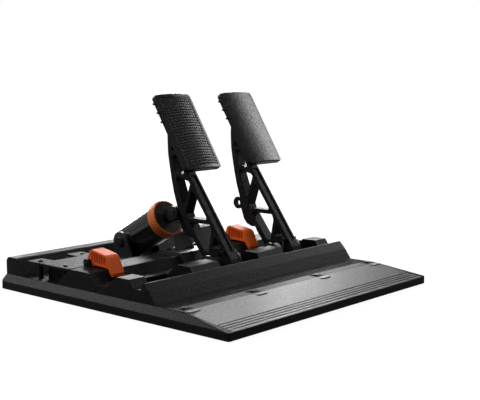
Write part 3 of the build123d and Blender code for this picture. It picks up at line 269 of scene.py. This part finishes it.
# %% Camera at the photograph's angle
eye = Vector((-0.9344, -0.8624, 0.2781))
gaze = Vector((0.7448, 0.6545, -0.1301))
camera_data = bpy.data.cameras.new("camera")
camera_data.lens = 76.0
camera_data.sensor_width = 36.0
camera = bpy.data.objects.new("camera", camera_data)
camera.location = eye
camera.rotation_euler = gaze.to_track_quat("-Z", "Y").to_euler()
bpy.context.scene.collection.objects.link(camera)
bpy.context.scene.camera = camera
bpy.context.scene.view_settings.view_transform = "Standard"
print("camera", round(eye.length, 2), "m away")

# %% [markdown]
# ## Soft boxes
# Black plastic shows mostly what it mirrors, so each lamp is a large soft box placed where a surface should
# mirror it. One stands low behind on the right, for the tops of the tray. One on the right shines in the
# crowned pads, one stands behind on the left and one hangs overhead. A small one low behind serves the
# upper edge of the gloss cylinder.

# %% Place, width, height and power of each lamp
aim = Vector((0, 0, 0.06))
soft_boxes = {
    "back_right": ((1.05, 0.95, 0.68), 0.7, 0.3, 15.0),
    "right": ((1.24, -0.20, 0.74), 0.30, 0.5, 4.2),
    "back_left": ((-0.75, 1.25, 0.95), 1.1, 0.35, 16.0),
    "overhead": ((-0.3, -0.2, 1.5), 1.4, 1.4, 6.0),
    "streak": ((0.60, 1.50, 0.24), 0.30, 0.26, 4.0),
}
for name, (place, width, height, power) in soft_boxes.items():
    lamp_data = bpy.data.lights.new(name, "AREA")
    lamp_data.shape = "RECTANGLE"
    lamp_data.size = width
    lamp_data.size_y = height
    lamp_data.energy = power
    lamp = bpy.data.objects.new(name, lamp_data)
    lamp.location = place
    lamp.rotation_euler = (aim - Vector(place)).to_track_quat("-Z", "Y").to_euler()
    bpy.context.scene.collection.objects.link(lamp)
print("soft boxes", list(soft_boxes))

# %% [markdown]
# ## One recipe for grained finishes
# Nearly all of the set is black glass-filled plastic with a spark-eroded grain: matt, with fine specks that
# catch the light. A picture of such plastic would need to be unwrapped onto every piece. A noise pattern on
# object coordinates needs no unwrapping, and it gives the grain its colour, roughness and relief. The Bevel
# node rounds each sharp edge in the shading, and where its normal leaves the true one, the colour turns
# paler: partly rubbed wear, partly a painted highlight along the edge.

# %% The recipe
noise_detail, noise_roughness = 4.0, 0.6
shade_from, shade_to = 0.38, 0.68
gloss_from, gloss_to = 0.3, 0.7
edge_from, edge_to = 0.995, 0.85
edge_samples = 4
coat_roughness = 0.08


def grained(name, dark, pale, roughness, grain, relief, edge=None, edge_width=0.5 * mm, metallic=0.0,
            specular=0.5, coat=0.0, stretch=(1, 1, 1)):
    """A finish whose colour, roughness and relief vary with a fine grain, with rounded edges painted paler,
    partly as wear and partly as a painted highlight.
    """
    finish = bpy.data.materials.new(name)
    finish.use_nodes = True
    tree = finish.node_tree
    shader = tree.nodes["Principled BSDF"]
    fill(shader, {"Metallic": metallic, "Specular IOR Level": specular, "Coat Weight": coat,
                  "Coat Roughness": coat_roughness})
    place = add_node(tree, "TexCoord")
    turn = add_node(tree, "Mapping", {"Scale": stretch})
    link(tree, place.outputs["Object"], turn.inputs["Vector"])
    noise = add_node(tree, "TexNoise", {"Scale": 1 / grain, "Detail": noise_detail,
                                        "Roughness": noise_roughness})
    link(tree, turn.outputs["Vector"], noise.inputs["Vector"])
    shade = add_node(tree, "ValToRGB")
    for stop, position, colour in zip(shade.color_ramp.elements, (shade_from, shade_to), (dark, pale)):
        stop.position = position
        stop.color = (*colour, 1)
    link(tree, noise.outputs["Fac"], shade.inputs["Fac"])
    gloss = add_node(tree, "MapRange", {"From Min": gloss_from, "From Max": gloss_to,
                                        "To Min": roughness[0], "To Max": roughness[1]})
    link(tree, noise.outputs["Fac"], gloss.inputs["Value"])
    link(tree, gloss.outputs["Result"], shader.inputs["Roughness"])
    rounded = add_node(tree, "Bevel", {"Radius": edge_width}, samples=edge_samples)
    bump = add_node(tree, "Bump", {"Strength": 1.0, "Distance": relief})
    link(tree, noise.outputs["Fac"], bump.inputs["Height"])
    link(tree, rounded.outputs["Normal"], bump.inputs["Normal"])
    link(tree, bump.outputs["Normal"], shader.inputs["Normal"])
    colour = shade.outputs["Color"]
    # Paler edge colour where the bevelled normal leaves the true one: partly rubbed wear, partly a painted
    # highlight
    if edge:
        surface = add_node(tree, "NewGeometry")
        agree = add_node(tree, "VectorMath", operation="DOT_PRODUCT")
        link(tree, rounded.outputs["Normal"], agree.inputs[0])
        link(tree, surface.outputs["True Normal"], agree.inputs[1])
        edge_wear_and_highlight = add_node(tree, "MapRange", {"From Min": edge_from, "From Max": edge_to})
        link(tree, agree.outputs["Value"], edge_wear_and_highlight.inputs["Value"])
        colour = mix_colour(tree, edge_wear_and_highlight.outputs["Result"], colour, edge)
    link(tree, colour, shader.inputs["Base Color"])
    return finish


# %% [markdown]
# ## A finish for every slot
# The record names a material slot for each node. The tray and arms share the black moulding. The pads have
# a finer, glossier one, and the heel plate is its own sheet with a brighter speck. Brackets are powder
# coated, the tube is gloss lacquer, the ring and clips are orange, and the small hardware is bright or
# black steel. Each finish is one line of the recipe: its dark and pale tone, its range of roughness, the
# size of its grain and how deep that goes.

# %% Black plastics


def grey(level, blue=None):
    """A grey, with its blue a touch higher where the finish is cool."""
    return level, level, level if blue is None else blue


# Each edge colour below is partly rubbed wear and partly a painted highlight along the edges
recipes = {
    "black_moulding": dict(dark=grey(0.003, 0.0033), pale=grey(0.014, 0.015), roughness=(0.32, 0.50),
                           grain=2.6 * mm, relief=0.7 * mm, edge=grey(0.03, 0.031), specular=0.1),
    "pad_face": dict(dark=grey(0.003, 0.0033), pale=grey(0.012, 0.0125), roughness=(0.15, 0.27),
                     grain=2.6 * mm, relief=0.45 * mm, edge=grey(0.02, 0.021), specular=0.35),
    "heel_plate_black": dict(dark=grey(0.006, 0.0063), pale=grey(0.13, 0.132), roughness=(0.30, 0.48),
                             grain=2.4 * mm, relief=0.7 * mm, edge=grey(0.12), specular=0.5),
    "pad_studs": dict(dark=grey(0.006, 0.0064), pale=grey(0.022, 0.023), roughness=(0.14, 0.24),
                      grain=1.6 * mm, relief=0.1 * mm, edge=grey(0.14, 0.143), edge_width=0.3 * mm),
    "rubber_black": dict(dark=grey(0.012), pale=grey(0.022), roughness=(0.7, 0.85),
                         grain=0.5 * mm, relief=0.05 * mm),
    "cap_black": dict(dark=grey(0.012), pale=grey(0.022), roughness=(0.3, 0.4),
                      grain=0.7 * mm, relief=0.03 * mm, edge=grey(0.07), edge_width=0.3 * mm),
    "spacer_plastic": dict(dark=grey(0.014), pale=grey(0.024), roughness=(0.45, 0.55),
                           grain=0.8 * mm, relief=0.02 * mm),
    "socket_black": dict(dark=grey(0.012), pale=grey(0.02), roughness=(0.4, 0.5),
                         grain=0.5 * mm, relief=0.02 * mm, edge=grey(0.06), edge_width=0.2 * mm),
}
print("black plastics", len(recipes))

# %% Coloured plastics, rubber and the circuit board
recipes |= {
    "orange_plastic": dict(dark=(0.78, 0.098, 0.006), pale=(0.95, 0.150, 0.012), roughness=(0.5, 0.62),
                           grain=1.6 * mm, relief=0.05 * mm, edge=(0.92, 0.34, 0.11), specular=0.25),
    "orange_ring": dict(dark=(0.66, 0.14, 0.025), pale=(0.76, 0.18, 0.04), roughness=(0.25, 0.38),
                        grain=2.0 * mm, relief=0.02 * mm, edge=(0.88, 0.34, 0.14), edge_width=0.4 * mm),
    "board_green": dict(dark=(0.006, 0.05, 0.022), pale=(0.01, 0.09, 0.04), roughness=(0.25, 0.35),
                        grain=0.9 * mm, relief=0.02 * mm),
    "elastomer_soft_white": dict(dark=grey(0.6, 0.58), pale=grey(0.7, 0.68), roughness=(0.5, 0.6),
                                 grain=1.0 * mm, relief=0.02 * mm),
    "elastomer_medium_grey": dict(dark=grey(0.2), pale=grey(0.26), roughness=(0.5, 0.6),
                                  grain=1.0 * mm, relief=0.02 * mm),
    "elastomer_hard_black": dict(dark=grey(0.02), pale=grey(0.03), roughness=(0.5, 0.6),
                                 grain=1.0 * mm, relief=0.02 * mm),
}

# %% Metals, bare and coated
recipes |= {
    "bracket_steel": dict(dark=grey(0.012, 0.013), pale=grey(0.026, 0.028), roughness=(0.3, 0.42),
                          grain=0.6 * mm, relief=0.03 * mm, edge=grey(0.08, 0.085), edge_width=0.3 * mm),
    "gloss_tube": dict(dark=grey(0.008, 0.009), pale=grey(0.013, 0.014), roughness=(0.12, 0.2),
                       grain=3.0 * mm, relief=0.01 * mm, coat=1.0),
    "bronze_bush": dict(dark=(0.36, 0.22, 0.09), pale=(0.5, 0.33, 0.15), roughness=(0.35, 0.5),
                        grain=0.5 * mm, relief=0.02 * mm, metallic=1.0),
    "bright_steel": dict(dark=grey(0.45, 0.46), pale=grey(0.62, 0.63), roughness=(0.22, 0.34),
                         grain=0.7 * mm, relief=0.01 * mm, metallic=1.0, stretch=(0.15, 1, 1)),
    "black_steel": dict(dark=grey(0.02, 0.021), pale=grey(0.05, 0.052), roughness=(0.3, 0.42),
                        grain=0.5 * mm, relief=0.01 * mm, metallic=0.8, edge=grey(0.3),
                        edge_width=0.3 * mm),
    "spring_steel": dict(dark=grey(0.28, 0.29), pale=grey(0.42, 0.43), roughness=(0.28, 0.4),
                         grain=0.5 * mm, relief=0.01 * mm, metallic=1.0),
    "black_screws": dict(dark=grey(0.012), pale=grey(0.03), roughness=(0.3, 0.45),
                         grain=0.4 * mm, relief=0.02 * mm, edge=grey(0.16), edge_width=0.25 * mm),
    "magnet_steel": dict(dark=grey(0.6), pale=grey(0.7), roughness=(0.15, 0.22),
                         grain=1.0 * mm, relief=0.005 * mm, metallic=1.0),
    "usb_steel": dict(dark=grey(0.5), pale=grey(0.6), roughness=(0.2, 0.3),
                      grain=0.6 * mm, relief=0.01 * mm, metallic=1.0),
}
finishes = {name: grained(name, **recipe) for name, recipe in recipes.items()}
print("finishes", len(finishes))

# %% Give each node its finish


def dress_node(node, finish):
    """Put a finish in every slot of a CAD node."""
    for held in nodes[node].material_slots:
        held.material = finishes[finish]


for row in frame["record"]["subparts"]:
    dress_node(row["node"], row["material_slot"])
for pad in ("brake_pad", "throttle_pad"):
    dress_node(pad, "pad_face")

# %% [markdown]
# ## Dark tabs on the heel plate
# The heel plate's four tabs lie in pockets of the apron and are coloured as dark as the moulding, while
# the plate's own face is paler. Two materials would need the mesh to be cut between them. A mix
# that depends only on how far back a point lies does it with one.

# %% Mix by depth
plate_back = -122.0 * mm
tab_colour = grey(0.004, 0.0044)
tree = finishes["heel_plate_black"].node_tree
shader = tree.nodes["Principled BSDF"]
place = add_node(tree, "TexCoord")
axes = add_node(tree, "SeparateXYZ")
link(tree, place.outputs["Object"], axes.inputs["Vector"])
# Points beyond plate_back, the tabs, are coloured dark and made fully rough
beyond = add_node(tree, "Math", {1: plate_back}, operation="GREATER_THAN")
link(tree, axes.outputs["Y"], beyond.inputs[0])
plate_face_colour = shader.inputs["Base Color"].links[0].from_socket
link(tree, mix_colour(tree, beyond.outputs["Value"], plate_face_colour, tab_colour), shader.inputs["Base Color"])
dulled = add_node(tree, "Math", operation="MAXIMUM")
link(tree, shader.inputs["Roughness"].links[0].from_socket, dulled.inputs[0])
link(tree, beyond.outputs["Value"], dulled.inputs[1])
link(tree, dulled.outputs["Value"], shader.inputs["Roughness"])
print("tabs dark beyond", round(plate_back / mm), "mm")


def dress(piece, slot, finish=None):
    """Give a new piece the finish of a slot of the record, or another finish."""
    piece.data.materials.clear()
    piece.data.materials.append(finishes[finish or slot])


# %% [markdown]
# ## Studs of the brake pad
# The brake pad's field is covered in small blunt pyramids for grip, set in rows inside a raised rim. A bump
# pattern would look flat along the pad's edge, so the studs are real. One is shaped from a box and repeated
# by two Array modifiers. The flat sheet of studs is then dropped onto the crowned field, column by column,
# with the same arc that the pad has.

# %% The pad's field
pad_centre = Vector((-2.0, 42.6651, 198.1714)) * mm
pad_up = Vector((0, 0.531117, 0.847299))
pad_out = Vector((0, -0.847299, 0.531117))
pad_turn = Matrix((Vector((1, 0, 0)), pad_up, pad_out)).transposed().to_4x4()
pad_crown_radius = 152.64 * mm
field_drop = 1.0 * mm
field_width, field_length = 54.0 * mm, 98.7 * mm
stud_columns, stud_rows = 14, 25
stud_height, stud_foot, stud_bevel = 1.2 * mm, 0.1 * mm, 0.16 * mm
stud_share, stud_top_share = 0.80, 0.52
pitch_across = field_width / stud_columns
pitch_along = field_length / stud_rows
first_across = (pitch_across - field_width) / 2
first_along = (pitch_along - field_length) / 2
print("stud pitch", round(pitch_across / mm, 2), "by", round(pitch_along / mm, 2), "mm")

# %% Pad studs
studs = new_box((pitch_across * stud_share, pitch_along * stud_share, stud_height),
                (first_across, first_along, 0))
draw_in(studs, (0, 0, 1), (stud_top_share, stud_top_share, 1))
modify(studs, "BEVEL", width=stud_bevel, segments=1, limit_method="ANGLE")
repeat(studs, stud_columns, (pitch_across, 0, 0))
repeat(studs, stud_rows, (0, pitch_along, 0))
for vertex in studs.data.vertices:
    x = first_across + pitch_across * round((vertex.co.x - first_across) / pitch_across)
    slope = x / pad_crown_radius
    fall = pad_crown_radius - sqrt(pad_crown_radius ** 2 - x ** 2)
    vertex.co.z += stud_height / 2 - stud_foot - field_drop - fall - slope * (vertex.co.x - x)
settle(studs, "brake_pad_studs", Matrix.Translation(pad_centre) @ pad_turn, smooth=20)
dress(studs, "black_moulding", "pad_studs")
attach(studs, "brake_arm_body")
print("studs", stud_columns * stud_rows)

# %% [markdown]
# ## Fine ribs on the apron
# Between the heel plate and the front ridge the tray is moulded with close, low ribs that run from side to
# side. They could be a wave in the material, but they catch the light at their tops as real ribs do. One
# rib is a long box with its top drawn in, and an Array modifier repeats it up to the ridge.

# %% Apron ribs
heel_low, heel_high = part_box("heel_plate")
apron_height = 20.2 * mm
rib_length, rib_width, rib_rise, rib_pitch = 364.0 * mm, 1.1 * mm, 0.35 * mm, 2.0 * mm
rib_top_shares = (0.9985, 0.35, 1)
rib_start = heel_high[1] + 1.6 * mm
rib_end = -81.6 * mm
rib_count = int((rib_end - rib_start) / rib_pitch)
ribs = new_box((rib_length, rib_width, 2 * rib_rise), (0, rib_start + rib_pitch / 2, apron_height))
draw_in(ribs, (0, 0, 1), rib_top_shares)
repeat(ribs, rib_count, (0, rib_pitch, 0))
settle(ribs, "apron_ribs", smooth=10)
dress(ribs, "black_moulding")
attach(ribs, "base")
print("apron ribs", rib_count)

# %% [markdown]
# ## Torsion springs of the throttle
# Each spring is one wire: a leg against a peg on the bracket, just over four turns round the axle, and a
# leg against a peg on the arm. A Screw modifier could make the turns but not the legs, so the wire is drawn
# as a curve with a round section. As the pedal goes down, each turn takes a little of the angle. The wire's
# place is baked into its mesh.

# %% The line of a coil
throttle_x, pivot_y, pivot_z = 121.0 * mm, -11.0 * mm, 33.0 * mm
cheek_room, cheek_gap = 22.5 * mm, 0.4 * mm
coil_radius, wire_radius = 9.6 * mm, 1.0 * mm
ground_leg, arm_leg = 9.0 * mm, 19.0 * mm
drift = 0.041146
coil_turn = 17 * pi / 2
coil_steps = 136
coil_start_x = cheek_room - cheek_gap - wire_radius - drift * ground_leg


def coil_point(side, turned):
    """Point and heading of the coil after an angle turned from its leg on the bracket."""
    angle = -pi / 2 - turned
    x = throttle_x + side * (coil_start_x - drift * coil_radius * turned)
    point = Vector((x, pivot_y + coil_radius * cos(angle), pivot_z + coil_radius * sin(angle)))
    return point, Vector((-side * drift, sin(angle), -cos(angle))).normalized()


def spring_line(side):
    """All points of a spring's wire, from the end of one leg to the end of the other."""
    first, heading = coil_point(side, 0)
    last, onward = coil_point(side, coil_turn)
    turns = [coil_point(side, coil_turn * i / coil_steps)[0] for i in range(coil_steps + 1)]
    return [first - heading * ground_leg, *turns, last + onward * arm_leg]


# %% Springs
wire_facets = 3
for side, name in ((-1, "throttle_spring_left"), (1, "throttle_spring_right")):
    line = spring_line(side)
    wire_data = bpy.data.curves.new(name + "_wire", "CURVE")
    wire_data.dimensions = "3D"
    wire_data.bevel_depth = wire_radius
    wire_data.bevel_resolution = wire_facets
    wire_data.use_fill_caps = True
    spline = wire_data.splines.new("POLY")
    spline.points.add(len(line) - 1)
    for spot, point in zip(spline.points, line):
        spot.co = (*point, 1)
    wire = bpy.data.objects.new(name + "_wire", wire_data)
    bpy.context.scene.collection.objects.link(wire)
    nothing_selected()
    wire.select_set(True)
    bpy.context.view_layer.objects.active = wire
    bpy.ops.object.convert(target="MESH")
    wire = bpy.context.object
    settle(wire, name + "_wire", smooth=50)
    dress(wire, "spring_steel")
    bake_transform(wire)
    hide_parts(name)
print("springs wound")

# %% [markdown]
# ## Elastomers in the brake cylinder
# Three rubber rings of different hardness stand between the piston and the load cell. Each starts as a
# cylinder. Its end faces are inset and bridged, which leaves a bore, and its edges are rounded. The rings
# shorten as the pushrod comes in; here each one's place is baked into its mesh.

# %% Elastomers
cylinder_back = Vector((0, 0.87292, -0.48786))
cap_face = Vector((-2.0, 83.788, 80.621)) * mm
ring_radius, ring_wall, ring_gap, ring_edge = 16.2 * mm, 12.8 * mm, 0.1 * mm, 1.4 * mm
elastomers = {"elastomer_soft": "elastomer_soft_white", "elastomer_medium": "elastomer_medium_grey",
              "elastomer_hard": "elastomer_hard_black"}
ring_turn = cylinder_back.to_track_quat("Z", "X").to_matrix().to_4x4()
stations = []
for name, slot in elastomers.items():
    along = [(nodes[name].matrix_world @ v.co).dot(cylinder_back) for v in nodes[name].data.vertices]
    stations += [min(along), max(along)]
    length = max(along) - min(along)
    middle = (max(along) + min(along)) / 2
    centre = cap_face + cylinder_back * (middle - cap_face.dot(cylinder_back))
    nothing_selected()
    bpy.ops.mesh.primitive_cylinder_add(vertices=64, radius=ring_radius, depth=length - ring_gap)
    ring = bpy.context.object
    pick_faces(ring, lambda normal: abs(normal.z) > facing)
    bpy.ops.mesh.inset(thickness=ring_wall)
    bpy.ops.mesh.bridge_edge_loops()
    bpy.ops.object.mode_set(mode="OBJECT")
    modify(ring, "BEVEL", width=ring_edge, segments=4, limit_method="ANGLE", angle_limit=radians(60))
    settle(ring, name + "_ring", Matrix.Translation(centre) @ ring_turn)
    dress(ring, slot)
    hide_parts(name)

# %% Bake each ring's place into its mesh
for name in elastomers:
    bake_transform(bpy.data.objects[name + "_ring"])

# %% [markdown]
# ## Spokes on the cylinder's cap
# Inside the orange ring the cap's face is stiffened by short radial ribs. One is a box along the X axis
# with its top drawn in, and its copies stand round the Z axis. The joined piece is then turned so that this
# axis is the cylinder's own.

# %% Cap spokes
spoke_count, spoke_inner, spoke_outer = 6, 10.5 * mm, 19.8 * mm
spoke_width, spoke_rise, spoke_foot, spoke_bevel = 2.4 * mm, 0.8 * mm, 0.1 * mm, 0.2 * mm
spoke_top_shares = (0.94, 0.6, 1)
cap_place = Matrix.Translation(cap_face) @ (-cylinder_back).to_track_quat("Z", "X").to_matrix().to_4x4()
spokes = new_box((spoke_outer - spoke_inner, spoke_width, spoke_rise),
                 ((spoke_inner + spoke_outer) / 2, 0, spoke_rise / 2 - spoke_foot))
draw_in(spokes, (0, 0, 1), spoke_top_shares)
modify(spokes, "BEVEL", width=spoke_bevel, segments=2, limit_method="ANGLE")
repeat_round(spokes, spoke_count)
settle(spokes, "cap_spokes", cap_place)
dress(spokes, "cap_black")
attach(spokes, "cylinder")
print("cap spokes", spoke_count)

# %% [markdown]
# ## Grips of the preload ring
# The ring is turned by hand to set the brake's stiffness, so its rim carries a band of low grips. A knurled
# texture would leave the outline smooth, so each grip is a small box along the axis, with its outer side
# drawn in.

# %% Ring grips
grip_count, ring_rim = 40, 25.0 * mm
grip_width, grip_rise = 2.0 * mm, 0.35 * mm
grip_start, grip_end = 2.6 * mm, 9.6 * mm
grip_top_shares = (1, 0.5, 0.86)
grips = new_box((2 * grip_rise, grip_width, grip_end - grip_start),
                (ring_rim, 0, -(grip_start + grip_end) / 2))
draw_in(grips, (1, 0, 0), grip_top_shares)
repeat_round(grips, grip_count)
settle(grips, "ring_grips", cap_place, smooth=20)
dress(grips, "orange_ring")
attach(grips, "preload_ring_body")
print("ring grips", grip_count)

# %% [markdown]
# ## Check the size and finish
# The dressed model may not be larger than the CAD box, so both boxes are written out for comparison.

# %% Sizes and the last line


def plain(box):
    """A box's corners as lists of plain numbers."""
    return [[float(v) for v in corner] for corner in box]
